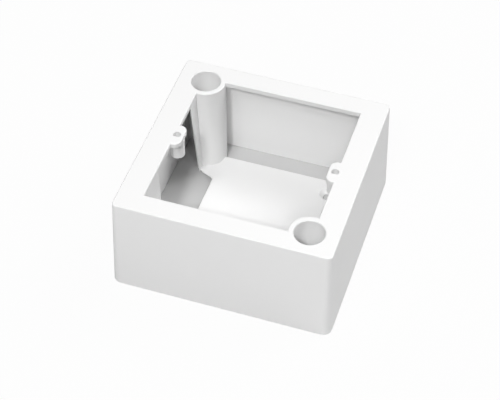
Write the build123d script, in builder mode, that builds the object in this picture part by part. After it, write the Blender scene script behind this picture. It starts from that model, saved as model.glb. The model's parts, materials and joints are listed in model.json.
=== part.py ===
"""Surface mount box for a square wall outlet, moulded in one piece.

Millimetres, +Z up. The origin is in the middle of the open back, on the plane that meets the wall.
The box stands on that back, and the outlet's opening looks up.
"""

import os
from math import radians, tan

from build123d import *

os.makedirs("parts", exist_ok=True)

# Outer shell
top_side = 80.5
height = 40.0
shell_draft = 2.0
corner_radius = 2.0
shell_wall = 2.2
frame_thickness = 2.0
top_edge_radius = 0.5

# Frame around the outlet's opening: wider at the left and right than at the front and back
frame_side_width = 9.55
frame_end_width = 8.05
rim_radius = 0.4

# Floor plate, and the short side walls that lean inwards from the opening to it
cup_draft = 2.9
cup_wall = 1.3
floor_top = 2.3
floor_thickness = 1.5
floor_edge_radius = 0.3

# Cable entries at the left and right of the floor
entry_front_inset = 13.9
entry_reach = 7.9
entry_corner_gap = 5.5
entry_corner_radius = 2.2
entry_nose_inset = 3.1
entry_nose_gap = 3.7
entry_nose_radius = 3.0

# Round wells for the wall screws, at two opposite corners
well_inset_x = 1.2
well_inset_y = 1.5
well_bore = 11.1
well_foot_wall = 2.4
well_draft = 0.55
well_chamfer = 0.3
well_seat = 3.0
wall_screw_hole = 4.5
wall_screw_seat = 9.0
wall_screw_seat_depth = 0.6

# Rib from each well to the outer wall behind it
rib_offset = 5.4
rib_thickness = 1.2
rib_depth = 18.0

# Flat web beside each well, from the front of its tube towards the outer wall
web_thickness = 1.8
web_reach_top = 2.4
web_reach_foot = 0.6

# Screw ears for the outlet
ear_pitch = 60.0
ear_width = 10.3
ear_reach = 3.3
ear_corner_radius = 2.6
ear_screw_hole = 2.9
ear_hole_flat = 1.05
boss_diameter = 5.4
boss_length = 8.0
boss_chamfer = 0.35

# Countersunk holes in the floor
floor_hole_inset_x = 8.4
floor_hole_inset_y = 8.8
floor_hole = 3.6
floor_hole_head = 6.6
floor_pad = 9.0

# Values that follow from the sizes above
shell_growth = height * tan(radians(shell_draft))
bottom_side = top_side + 2 * shell_growth
bottom_corner_radius = corner_radius + shell_growth
hollow_height = height - frame_thickness
floor_bottom = floor_top - floor_thickness
foot_lean = (hollow_height - floor_bottom) * tan(radians(cup_draft))
side_face = top_side / 2 - frame_side_width
sill_face = top_side / 2 - frame_end_width
floor_end = sill_face - foot_lean
wall_foot = side_face + cup_wall - foot_lean
well_x = side_face - well_inset_x
well_y = sill_face - well_inset_y
well_foot_radius = well_bore / 2 + well_foot_wall
well_top_radius = well_foot_radius - height * tan(radians(well_draft))
well_front = well_y - well_top_radius
rib_end = top_side / 2 - shell_wall / 2
web_top = side_face + web_reach_top
web_foot = side_face + web_reach_foot
entry_front = sill_face - entry_front_inset
entry_edge = side_face - entry_reach
entry_corner = well_front - entry_corner_gap
entry_nose_x = side_face - entry_nose_inset
entry_nose_y = well_front - entry_nose_gap
floor_hole_x = side_face - floor_hole_inset_x
floor_hole_y = sill_face - floor_hole_inset_y
ear_x = ear_pitch / 2
ear_tip = side_face - ear_reach


# Floor plate, cut back at both sides for the cables and at the outer feet of the leaning side walls,
# with its free edges eased
with BuildPart() as floor:
    with BuildSketch(mode=Mode.PRIVATE) as entry:
        with BuildLine():
            Polyline(
                (-top_side / 2, -floor_end),
                (-wall_foot, -floor_end),
                (-wall_foot, -entry_front),
                (-entry_edge, -entry_front),
                (-entry_edge, entry_corner),
                (-entry_nose_x, entry_nose_y),
                (-web_foot, well_front),
                (-top_side / 2, well_front),
                close=True,
            )
        make_face()
        fillet(entry.vertices().group_by(Axis.X)[-1], radius=entry_corner_radius)
        nose = entry.vertices().sort_by_distance((-entry_nose_x, entry_nose_y))[0]
        fillet(nose, radius=entry_nose_radius)
    with BuildSketch(Plane.XY.offset(floor_bottom)):
        Rectangle(2 * web_foot, 2 * floor_end)
        add(entry.sketch, mode=Mode.SUBTRACT)
        add(entry.sketch, rotation=180, mode=Mode.SUBTRACT)
    extrude(amount=floor_thickness)
    fillet(floor.edges().group_by(Axis.Z)[-1], radius=floor_edge_radius)
    # Pads that meet the wall under the floor's screw holes
    with BuildSketch():
        with Locations((floor_hole_x, floor_hole_y), (-floor_hole_x, -floor_hole_y)):
            Circle(floor_pad / 2)
    extrude(amount=floor_bottom)


# Short leaning side walls at the left front and right back, between the entries and the open ends
with BuildPart() as side_walls:
    with BuildSketch(Plane.XZ.offset(entry_front)):
        with BuildLine():
            Polyline(
                (-side_face, hollow_height),
                (-side_face - cup_wall, hollow_height),
                (-side_face - cup_wall + foot_lean, floor_bottom),
                (-side_face + foot_lean, floor_bottom),
                close=True,
            )
        make_face()
    extrude(amount=floor_end - entry_front)
    add(side_walls.part, rotation=(0, 0, 180))


# Webs in line with the front of each well tube
with BuildPart() as webs:
    with BuildSketch(Plane.XZ.offset(-well_front)):
        with BuildLine():
            Polyline(
                (-well_x, hollow_height),
                (-web_top, hollow_height),
                (-web_foot, floor_bottom),
                (-well_x, floor_bottom),
                close=True,
            )
        make_face()
    extrude(amount=-web_thickness)
    add(webs.part, rotation=(0, 0, 180))


with BuildPart() as box:
    # Tapered outer shell, open at the back
    with BuildSketch():
        RectangleRounded(bottom_side, bottom_side, bottom_corner_radius)
    extrude(amount=height, taper=shell_draft)
    top_outline = box.edges().group_by(Axis.Z)[-1]
    fillet(top_outline, radius=top_edge_radius)
    with BuildSketch():
        hollow_side = bottom_side - 2 * shell_wall
        RectangleRounded(hollow_side, hollow_side, bottom_corner_radius - shell_wall / 2)
    extrude(amount=hollow_height, taper=shell_draft, mode=Mode.SUBTRACT)

    # Opening in the frame
    with BuildSketch(Plane.XY.offset(height)):
        Rectangle(2 * side_face, 2 * sill_face)
    extrude(amount=-frame_thickness, mode=Mode.SUBTRACT)

    add(floor.part)
    add(side_walls.part)
    add(webs.part)

    # Tubes of the two wells, from the frame down to the wall, each with its seam turned under the frame
    with BuildSketch():
        with PolarLocations(0, 2):
            with Locations(Location((-well_x, well_y), 90)):
                Circle(well_foot_radius)
    extrude(amount=height, taper=well_draft)

    # Ribs under the frame that tie each tube to the outer wall behind it
    with BuildSketch(Plane.XY.offset(hollow_height)):
        with PolarLocations(0, 2):
            with Locations((-well_x + rib_offset, well_y)):
                Rectangle(rib_thickness, rib_end - well_y, align=(Align.MAX, Align.MIN))
    extrude(amount=-rib_depth)

    # Screw ears, flush with the frame, and the bosses under them
    with BuildSketch(Plane.XY.offset(hollow_height)) as ears:
        Rectangle(2 * side_face, ear_width)
        Rectangle(2 * ear_tip, ear_width, mode=Mode.SUBTRACT)
        inner_corners = ears.vertices().group_by(SortBy.DISTANCE)[0]
        fillet(inner_corners, radius=ear_corner_radius)
    extrude(amount=frame_thickness)
    with BuildSketch(Plane.XY.offset(hollow_height)):
        with PolarLocations(ear_x, 2):
            Circle(boss_diameter / 2)
    extrude(amount=-boss_length)
    boss_ends = box.edges().filter_by(GeomType.CIRCLE).filter_by_position(
        Axis.Z, hollow_height - boss_length, hollow_height - boss_length
    )
    chamfer(boss_ends, length=boss_chamfer)

    # Soft rounding all along the rim of the opening and its ears
    rim = box.faces().sort_by(Axis.Z)[-1].inner_wires()[0]
    fillet(rim.edges(), radius=rim_radius)

    # Bores of the wells down to the seats of the wall screws
    with BuildSketch(Plane.XY.offset(height)):
        with PolarLocations(0, 2):
            with Locations((-well_x, well_y)):
                Circle(well_bore / 2)
    extrude(amount=-(height - well_seat), mode=Mode.SUBTRACT)
    bore_rims = box.edges().filter_by(GeomType.CIRCLE).filter_by_position(Axis.Z, height, height)
    chamfer(bore_rims, length=well_chamfer)
    with Locations(Plane.XY.offset(well_seat)):
        with PolarLocations(0, 2):
            with Locations((-well_x, well_y)):
                CounterBoreHole(
                    radius=wall_screw_hole / 2,
                    counter_bore_radius=wall_screw_seat / 2,
                    counter_bore_depth=wall_screw_seat_depth,
                    depth=well_seat,
                )

    # Screw holes of the ears, each with one flat side
    with BuildSketch(Plane.XY.offset(height)) as ear_holes:
        with Locations((-ear_x, 0), (ear_x, 0)):
            Circle(ear_screw_hole / 2)
        with Locations((-ear_x, -ear_hole_flat), (ear_x, -ear_hole_flat)):
            Rectangle(ear_screw_hole, ear_screw_hole, align=(Align.CENTER, Align.MAX), mode=Mode.SUBTRACT)
    extrude(amount=-(frame_thickness + boss_length), mode=Mode.SUBTRACT)

    # Countersunk holes in the floor, on one diagonal
    with Locations(Plane.XY.offset(floor_top)):
        with Locations((floor_hole_x, floor_hole_y), (-floor_hole_x, -floor_hole_y)):
            CounterSinkHole(
                radius=floor_hole / 2,
                counter_sink_radius=floor_hole_head / 2,
                depth=floor_top,
            )

box.part.label = "surface_mount_box"
export_step(box.part, "parts/surface_mount_box.step")
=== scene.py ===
# %% [markdown]
# A surface mount box holds a wall outlet on top of a wall. The real one is a single white moulding. Its
# form comes from the CAD frame, except for a few details at its two screw wells, and could be modelled
# here from nothing too, but then the solid and the scene could drift apart. This lesson mends those
# details and adds the plastic, the table that the box stands on, the studio lamps and the camera.

import bpy
import json
from math import atan2, cos, degrees, pi, radians, sin
from mathutils import Matrix, Vector


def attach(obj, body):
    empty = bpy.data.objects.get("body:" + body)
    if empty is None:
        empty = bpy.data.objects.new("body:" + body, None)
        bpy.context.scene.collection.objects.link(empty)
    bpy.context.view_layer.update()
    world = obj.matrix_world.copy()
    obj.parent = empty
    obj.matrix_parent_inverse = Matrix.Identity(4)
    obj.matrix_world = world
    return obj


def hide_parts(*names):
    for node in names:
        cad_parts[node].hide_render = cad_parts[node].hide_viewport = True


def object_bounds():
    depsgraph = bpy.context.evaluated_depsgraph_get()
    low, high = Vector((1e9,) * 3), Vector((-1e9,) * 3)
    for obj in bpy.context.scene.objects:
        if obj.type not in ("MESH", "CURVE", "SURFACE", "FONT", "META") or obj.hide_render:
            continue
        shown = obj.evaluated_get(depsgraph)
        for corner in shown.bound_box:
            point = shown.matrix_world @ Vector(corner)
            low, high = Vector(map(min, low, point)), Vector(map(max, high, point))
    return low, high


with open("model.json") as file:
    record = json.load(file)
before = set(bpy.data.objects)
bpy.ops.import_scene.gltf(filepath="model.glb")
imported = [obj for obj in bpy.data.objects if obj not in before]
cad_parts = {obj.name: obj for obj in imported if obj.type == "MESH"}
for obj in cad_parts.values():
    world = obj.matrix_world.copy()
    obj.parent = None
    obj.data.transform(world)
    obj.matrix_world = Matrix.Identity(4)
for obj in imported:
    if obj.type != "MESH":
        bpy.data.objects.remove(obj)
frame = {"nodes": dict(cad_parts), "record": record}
cad_low, cad_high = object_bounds()
box = frame["nodes"]["surface_mount_box"]
print("box in metres:", [round(v, 4) for v in cad_high - cad_low])

# %% [markdown]
# The CAD solid has each screw well as one whole tube. The photograph shows the table where the outer side
# of such a tube would stand, so on the real moulding that side is open below a short collar. The CAD node
# itself is never changed. So a copy of its mesh is merged, cut and joined with a few simple tools, and
# the copy stands for the node.

# %% A copy of the solid to work on
MERGE = 0.000001


def only(piece):
    """Selects one object and makes it the active one."""
    bpy.ops.object.select_all(action="DESELECT")
    piece.select_set(True)
    bpy.context.view_layer.objects.active = piece


moulding = bpy.data.objects.new("moulded_box", box.data.copy())
bpy.context.collection.objects.link(moulding)
only(moulding)
bpy.ops.mesh.customdata_custom_splitnormals_clear()
bpy.ops.object.mode_set(mode="EDIT")
bpy.ops.mesh.select_all(action="SELECT")
bpy.ops.mesh.remove_doubles(threshold=MERGE)
bpy.ops.object.mode_set(mode="OBJECT")
print("copy:", len(moulding.data.vertices), "vertices")

# %% [markdown]
# Each tool is a plain block, whose corners are moved in edit mode until its sides lean. A mesh could also
# be written point by point, but moved corners show which side leans, and by how much. The two wells stand
# half a turn apart, so every tool is made once and turned for its twin.

# %% Blocks with leaning sides
def block(name, low, high):
    """A block between two corners, with its place in its mesh."""
    low, high = Vector(low), Vector(high)
    bpy.ops.object.select_all(action="DESELECT")
    bpy.ops.mesh.primitive_cube_add(size=1, location=(low + high) / 2, scale=high - low)
    piece = bpy.context.object
    piece.name = name
    bpy.ops.object.transform_apply(location=True, rotation=True, scale=True)
    return piece


def shift_corners(piece, chosen, move):
    """Moves the corners of a piece that a test chooses."""
    only(piece)
    bpy.ops.object.mode_set(mode="EDIT")
    bpy.ops.mesh.select_all(action="DESELECT")
    bpy.ops.object.mode_set(mode="OBJECT")
    for corner in piece.data.vertices:
        corner.select = chosen(corner.co)
    bpy.ops.object.mode_set(mode="EDIT")
    bpy.ops.transform.translate(value=move)
    bpy.ops.object.mode_set(mode="OBJECT")


def half_turn(piece):
    """A copy of a piece, half a turn round the middle of the box."""
    only(piece)
    bpy.ops.object.duplicate()
    twin = bpy.context.object
    bpy.ops.object.mode_set(mode="EDIT")
    bpy.ops.mesh.select_all(action="SELECT")
    bpy.ops.transform.rotate(value=pi, orient_axis="Z", center_override=(0, 0, 0))
    bpy.ops.object.mode_set(mode="OBJECT")
    return twin


def combine(piece, tool, operation):
    """Joins a tool to a piece or cuts it away, and deletes the tool."""
    only(piece)
    bpy.ops.object.modifier_add(type="BOOLEAN")
    change = piece.modifiers[-1]
    change.operation = operation
    change.solver = "EXACT"
    change.object = tool
    bpy.ops.object.modifier_apply(modifier=change.name)
    bpy.data.objects.remove(tool)
    print(operation.lower(), "->", len(piece.data.polygons), "faces")


# %% [markdown]
# The pocket between a well and the outer wall is cut out as one block. A leaning block is first taken
# away from it, so that the cut stops at a slanted flank, and a short cylinder, so that the collar under
# the frame stays. A straight cut would be simpler, but it would show the cut edge of the tube beside the
# side wall, where the photograph has none.

# %% Pocket beside a well
mounts = {mount["name"]: mount for mount in frame["record"]["mounts"]}
well = Vector(mounts["well_left_back"]["pos_m"])
CLEAR = 0.00002
FRAME_UNDERSIDE = 0.038
POCKET_LOW = (-0.0379, 0.0188, -0.001)
POCKET_HIGH = (-0.026, 0.036, FRAME_UNDERSIDE - CLEAR)

pocket = block("pocket", POCKET_LOW, POCKET_HIGH)

# %% Slanted flank of the pocket
FLANK_LOW = Vector((-0.0281, 0.0178, -0.002))
FLANK_HIGH = Vector((0, 0.037, 0.039))
OUTWARDS_PER_DEPTH = 0.4715
OUTWARDS_PER_HEIGHT = 0.0918
COLLAR_FOOT = 0.030

flank = block("flank", FLANK_LOW, FLANK_HIGH)
turn = -OUTWARDS_PER_DEPTH * (FLANK_HIGH.y - FLANK_LOW.y)
lean = -OUTWARDS_PER_HEIGHT * (FLANK_HIGH.z - FLANK_LOW.z)
shift_corners(flank, lambda co: co.x < -CLEAR and co.y > well.y, (turn, 0, 0))
shift_corners(flank, lambda co: co.x < -CLEAR and co.z > COLLAR_FOOT, (lean, 0, 0))
combine(pocket, flank, "DIFFERENCE")

# %% Collar that stays under the frame
COLLAR_RADIUS = 0.0067
COLLAR_SIDES = 96
collar_top = FRAME_UNDERSIDE + COLLAR_RADIUS

bpy.ops.object.select_all(action="DESELECT")
bpy.ops.mesh.primitive_cylinder_add(
    vertices=COLLAR_SIDES, radius=COLLAR_RADIUS, depth=collar_top - COLLAR_FOOT,
    location=(well.x, well.y, (COLLAR_FOOT + collar_top) / 2),
)
collar = bpy.context.object
bpy.ops.object.transform_apply(location=True, rotation=True, scale=True)
combine(pocket, collar, "DIFFERENCE")

# %% Both wells are cut open
pocket_twin = half_turn(pocket)
combine(moulding, pocket, "DIFFERENCE")
combine(moulding, pocket_twin, "DIFFERENCE")

# %% [markdown]
# In front of each well stands a short end of the leaning side wall, which the CAD solid doesn't have. It
# runs forward from the tube and thins towards its free edge, and that edge slopes back towards the floor.
# It could be extruded upwards from its foot, but a block whose corners follow the lean and the slope
# needs no more than the helper above.

# %% End of the side wall in front of a well
WALL_THICKNESS = 0.0013
TIP_THICKNESS = 0.0002
FACE_AT_FRAME = -0.03072
FACE_AT_FLOOR = -0.02865
TIP_AT_FRAME = 0.0166
TIP_AT_FLOOR = 0.0198
WALL_BACK = 0.0242
FLOOR_UNDERSIDE = 0.0008

wall_end = block(
    "side_wall_end",
    (FACE_AT_FLOOR - WALL_THICKNESS, TIP_AT_FLOOR, FLOOR_UNDERSIDE),
    (FACE_AT_FLOOR, WALL_BACK, FRAME_UNDERSIDE + CLEAR),
)
middle = (TIP_AT_FLOOR + WALL_BACK) / 2
outer_face = FACE_AT_FLOOR - CLEAR
thinner = (WALL_THICKNESS - TIP_THICKNESS, 0, 0)
longer = (0, TIP_AT_FRAME - TIP_AT_FLOOR, 0)
outwards = (FACE_AT_FRAME - FACE_AT_FLOOR, 0, 0)
shift_corners(wall_end, lambda co: co.x < outer_face and co.y < middle, thinner)
shift_corners(wall_end, lambda co: co.y < middle and co.z > COLLAR_FOOT, longer)
shift_corners(wall_end, lambda co: co.z > COLLAR_FOOT, outwards)
wall_end_twin = half_turn(wall_end)
combine(moulding, wall_end, "UNION")
combine(moulding, wall_end_twin, "UNION")

# %% [markdown]
# The curved back edge of each cable entry is thin, and the table lies in shade under it. The whole plate
# could be made thinner, but only this stretch looks so in the photograph. So a low block takes away its
# underside there, and the top stays as it is.

# %% Thin floor edge at the cable entries
THIN_LOW = (-0.0312, 0.0145, -0.001)
THIN_HIGH = (-0.021, 0.0227, 0.0019)

thinning = block("thinning", THIN_LOW, THIN_HIGH)
thinning_twin = half_turn(thinning)
combine(moulding, thinning, "DIFFERENCE")
combine(moulding, thinning_twin, "DIFFERENCE")

# %% [markdown]
# The cuts left new edges, so the shading is set again: smooth up to an angle, then weighted by the size
# of the faces. Smooth shading alone would bend the light on the large flat faces next to the rounded rim.

# %% The copy stands for the CAD node
SHARP_FROM = 30

only(moulding)
bpy.ops.object.shade_smooth_by_angle(angle=radians(SHARP_FROM))
bpy.ops.object.modifier_add(type="WEIGHTED_NORMAL")
flat_faces = moulding.modifiers[-1]
flat_faces.keep_sharp = True
bpy.ops.object.modifier_apply(modifier=flat_faces.name)
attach(moulding, "root")
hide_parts("surface_mount_box")
print("moulded box:", len(moulding.data.polygons), "faces")

# %% [markdown]
# The plastic is plain white with a satin skin. The mould leaves a very fine grain on such a part, and the
# melt leaves slow changes in how glossy it is. Both could be painted on with an image, but noise in
# Object coordinates needs no file and has the right size on every face, so one noise drives the roughness
# and a much finer one drives a shallow bump.

# %% A helper that adds nodes
def add_node(tree, kind, place, **values):
    """A new node of that kind, with its inputs and settings given by name."""
    node = tree.nodes.new(kind)
    node.location = place
    for name, value in values.items():
        if hasattr(node, name):
            setattr(node, name, value)
        else:
            node.inputs[name.replace("_", " ")].default_value = value
    return node


# %% White satin plastic
PLASTIC_COLOUR = (0.92, 0.92, 0.918, 1.0)
PLASTIC_IOR = 1.53
GLOSS_PATCH_SIZE = 0.018
SMOOTHEST = 0.36
ROUGHEST = 0.48
GRAIN_SIZE = 0.00035
GRAIN_DEPTH = 0.00002
GRAIN_STRENGTH = 0.12


def satin_plastic():
    """Moulded plastic: slow changes of gloss and a fine eroded grain."""
    material = bpy.data.materials.new("satin_white_plastic")
    material.use_nodes = True
    tree = material.node_tree
    tree.nodes.clear()
    output = add_node(tree, "ShaderNodeOutputMaterial", (600, 0))
    shader = add_node(
        tree, "ShaderNodeBsdfPrincipled", (300, 0), Base_Color=PLASTIC_COLOUR, IOR=PLASTIC_IOR
    )
    place = add_node(tree, "ShaderNodeTexCoord", (-900, 0))
    patches = add_node(
        tree, "ShaderNodeTexNoise", (-600, 100), Scale=1 / GLOSS_PATCH_SIZE, Detail=3.0, Roughness=0.5
    )
    gloss = add_node(tree, "ShaderNodeMapRange", (-300, 100), To_Min=SMOOTHEST, To_Max=ROUGHEST)
    grain = add_node(tree, "ShaderNodeTexNoise", (-600, -250), Scale=1 / GRAIN_SIZE, Detail=2.0)
    bump = add_node(
        tree, "ShaderNodeBump", (0, -250), Strength=GRAIN_STRENGTH, Distance=GRAIN_DEPTH
    )
    tree.links.new(place.outputs["Object"], patches.inputs["Vector"])
    tree.links.new(place.outputs["Object"], grain.inputs["Vector"])
    tree.links.new(patches.outputs["Fac"], gloss.inputs["Value"])
    tree.links.new(gloss.outputs["Result"], shader.inputs["Roughness"])
    tree.links.new(grain.outputs["Fac"], bump.inputs["Height"])
    tree.links.new(bump.outputs["Normal"], shader.inputs["Normal"])
    tree.links.new(shader.outputs["BSDF"], output.inputs["Surface"])
    return material


plastic = satin_plastic()
for piece in (box, moulding):
    for slot in piece.material_slots:
        slot.material = plastic
print("slots on the box:", len(moulding.material_slots))

# %% [markdown]
# The box stands on a plain pale table. Through the open back the table shows inside the box, where it has
# to be a real lit surface, while around the box the photograph is pure white. Two tables could meet at
# the foot of the box, but one is simpler: its material is matt with a little scatter, which softens the
# shade on it, and outside the footprint the camera sees it almost plain white, with a faint shadow.

# %% Table
TABLE_SIZE = 6.0
TABLE_COLOUR = (0.62, 0.62, 0.62, 1.0)
SHADOW_SHARE = 0.04
TABLE_SCATTER = 0.002
TABLE_ROUGHNESS = 0.9
TABLE_SHEEN = 0.1
FOOT_MARGIN = 0.001


def table_surface():
    """Matt white, mixed with plain white for the camera outside the box's footprint."""
    material = bpy.data.materials.new("white_table")
    material.use_nodes = True
    tree = material.node_tree
    tree.nodes.clear()
    output = add_node(tree, "ShaderNodeOutputMaterial", (900, 0))
    lit = add_node(
        tree, "ShaderNodeBsdfPrincipled", (300, 100), Base_Color=TABLE_COLOUR, Roughness=TABLE_ROUGHNESS,
        Specular_IOR_Level=TABLE_SHEEN, Subsurface_Weight=1.0, Subsurface_Radius=(1.0, 1.0, 1.0),
        Subsurface_Scale=TABLE_SCATTER,
    )
    white = add_node(tree, "ShaderNodeEmission", (300, -100), Color=(1, 1, 1, 1), Strength=1.0)
    mix = add_node(tree, "ShaderNodeMixShader", (600, 0))
    place = add_node(tree, "ShaderNodeTexCoord", (-900, 0))
    parts = add_node(tree, "ShaderNodeSeparateXYZ", (-700, 0))
    tree.links.new(place.outputs["Object"], parts.inputs["Vector"])
    outside = []
    for axis, half in (("X", cad_high.x), ("Y", cad_high.y)):
        size = add_node(tree, "ShaderNodeMath", (-500, 0), operation="ABSOLUTE")
        beyond = add_node(tree, "ShaderNodeMath", (-300, 0), operation="GREATER_THAN")
        beyond.inputs[1].default_value = half - FOOT_MARGIN
        tree.links.new(parts.outputs[axis], size.inputs[0])
        tree.links.new(size.outputs[0], beyond.inputs[0])
        outside.append(beyond)
    either = add_node(tree, "ShaderNodeMath", (-100, 0), operation="MAXIMUM")
    seen = add_node(tree, "ShaderNodeLightPath", (-300, 300))
    share = add_node(tree, "ShaderNodeMath", (100, 200), operation="MULTIPLY")
    keep = add_node(tree, "ShaderNodeMath", (300, 300), operation="MULTIPLY")
    keep.inputs[1].default_value = 1 - SHADOW_SHARE
    tree.links.new(outside[0].outputs[0], either.inputs[0])
    tree.links.new(outside[1].outputs[0], either.inputs[1])
    tree.links.new(either.outputs[0], share.inputs[0])
    tree.links.new(seen.outputs["Is Camera Ray"], share.inputs[1])
    tree.links.new(share.outputs[0], keep.inputs[0])
    tree.links.new(keep.outputs[0], mix.inputs["Fac"])
    tree.links.new(lit.outputs["BSDF"], mix.inputs[1])
    tree.links.new(white.outputs["Emission"], mix.inputs[2])
    tree.links.new(mix.outputs["Shader"], output.inputs["Surface"])
    return material


bpy.ops.object.select_all(action="DESELECT")
bpy.ops.mesh.primitive_plane_add(size=TABLE_SIZE, location=(0, 0, 0))
table = bpy.context.object
table.name = "table"
table.data.materials.append(table_surface())
print("table:", TABLE_SIZE, "m wide, white share outside the box:", 1 - SHADOW_SHARE)

# %% [markdown]
# A studio shot of a white part has light from all round. It could come from a bright world alone, but
# that gives no direction to the shade inside the box. So the world is weak, and the lamps below do most
# of the work. The camera sees the world as pure white all the same.

# %% World
WORLD_LEVEL = 0.065


def white_world():
    """Even grey-white light, seen as pure white by the camera."""
    world = bpy.data.worlds.new("studio")
    bpy.context.scene.world = world
    world.use_nodes = True
    tree = world.node_tree
    tree.nodes.clear()
    output = add_node(tree, "ShaderNodeOutputWorld", (400, 0))
    light = add_node(tree, "ShaderNodeBackground", (0, 100), Color=(1, 1, 1, 1), Strength=WORLD_LEVEL)
    seen = add_node(tree, "ShaderNodeBackground", (0, -100), Color=(1, 1, 1, 1), Strength=1.0)
    path = add_node(tree, "ShaderNodeLightPath", (-300, 0))
    mix = add_node(tree, "ShaderNodeMixShader", (200, 0))
    tree.links.new(path.outputs["Is Camera Ray"], mix.inputs["Fac"])
    tree.links.new(light.outputs["Background"], mix.inputs[1])
    tree.links.new(seen.outputs["Background"], mix.inputs[2])
    tree.links.new(mix.outputs["Shader"], output.inputs["Surface"])


white_world()
print("world level:", WORLD_LEVEL)

# %% [markdown]
# In the photograph the frame's shadow on the back wall is a narrow, quite crisp band, and the floor grows
# brighter towards the front. So the main light is a fairly small lamp in front of the box, 50 degrees up,
# with three weaker ones beside and above it, and a large soft one behind and to the right. A low one at
# the left keeps that side from going dark. A dome of many lamps could do this too, but these six already
# come close to the grey of every face.

# %% Lamps
def area_lamp(name, azimuth, elevation, distance, size, power):
    """A square lamp that looks at the box from an azimuth and elevation in degrees."""
    turn = radians(azimuth)
    rise = radians(elevation)
    place = Vector((sin(turn) * cos(rise), -cos(turn) * cos(rise), sin(rise))) * distance
    data = bpy.data.lights.new(name, "AREA")
    data.shape = "SQUARE"
    data.size = size
    data.energy = power
    lamp = bpy.data.objects.new(name, data)
    bpy.context.collection.objects.link(lamp)
    lamp.location = place
    lamp.rotation_euler = (-place).to_track_quat("-Z", "Y").to_euler()


FRONT_POWER = 10.1
LEFT_POWER = 3.4
RIGHT_POWER = 1.9
HIGH_POWER = 2.4
SIDE_POWER = 1.6
BACK_POWER = 12.7
area_lamp("front", azimuth=0, elevation=50, distance=1.6, size=0.17, power=FRONT_POWER)
area_lamp("left", azimuth=-20, elevation=58, distance=1.6, size=0.17, power=LEFT_POWER)
area_lamp("right", azimuth=17, elevation=45, distance=1.6, size=0.12, power=RIGHT_POWER)
area_lamp("high", azimuth=10, elevation=72, distance=1.5, size=0.4, power=HIGH_POWER)
area_lamp("side", azimuth=-95, elevation=25, distance=1.5, size=0.8, power=SIDE_POWER)
area_lamp("back", azimuth=135, elevation=50, distance=1.5, size=0.8, power=BACK_POWER)

# %% [markdown]
# The camera stands where the photograph's did. It could be set by eye, but the box has long straight
# edges, and these give its place, its small roll and its lens, so that the edges of the render fall on
# those of the photograph.

# %% Camera
CAMERA_PLACE = Vector((0.11302, -0.36351, 0.42365))
CAMERA_TARGET = Vector((-0.00027, -0.00486, 0.02))
CAMERA_ROLL = 0.646
LENS = 107.69
SENSOR = 36.0

camera_data = bpy.data.cameras.new("camera")
camera_data.lens = LENS
camera_data.sensor_width = SENSOR
camera_data.clip_start = 0.01
camera_data.clip_end = 20.0
camera = bpy.data.objects.new("camera", camera_data)
bpy.context.collection.objects.link(camera)
camera.location = CAMERA_PLACE
look = (CAMERA_TARGET - CAMERA_PLACE).to_track_quat("-Z", "Y").to_matrix()
camera.rotation_euler = (look @ Matrix.Rotation(radians(CAMERA_ROLL), 3, "Z")).to_euler()
bpy.context.scene.camera = camera
away = CAMERA_PLACE - CAMERA_TARGET
print("camera azimuth:", round(degrees(atan2(away.x, -away.y)), 1))

# %% [markdown]
# The Standard view shows a colour about as it is written. A filmic view would hold bright faces back, and
# on a white part against a white background that turns both grey.

# %% Colour
bpy.context.scene.view_settings.view_transform = "Standard"
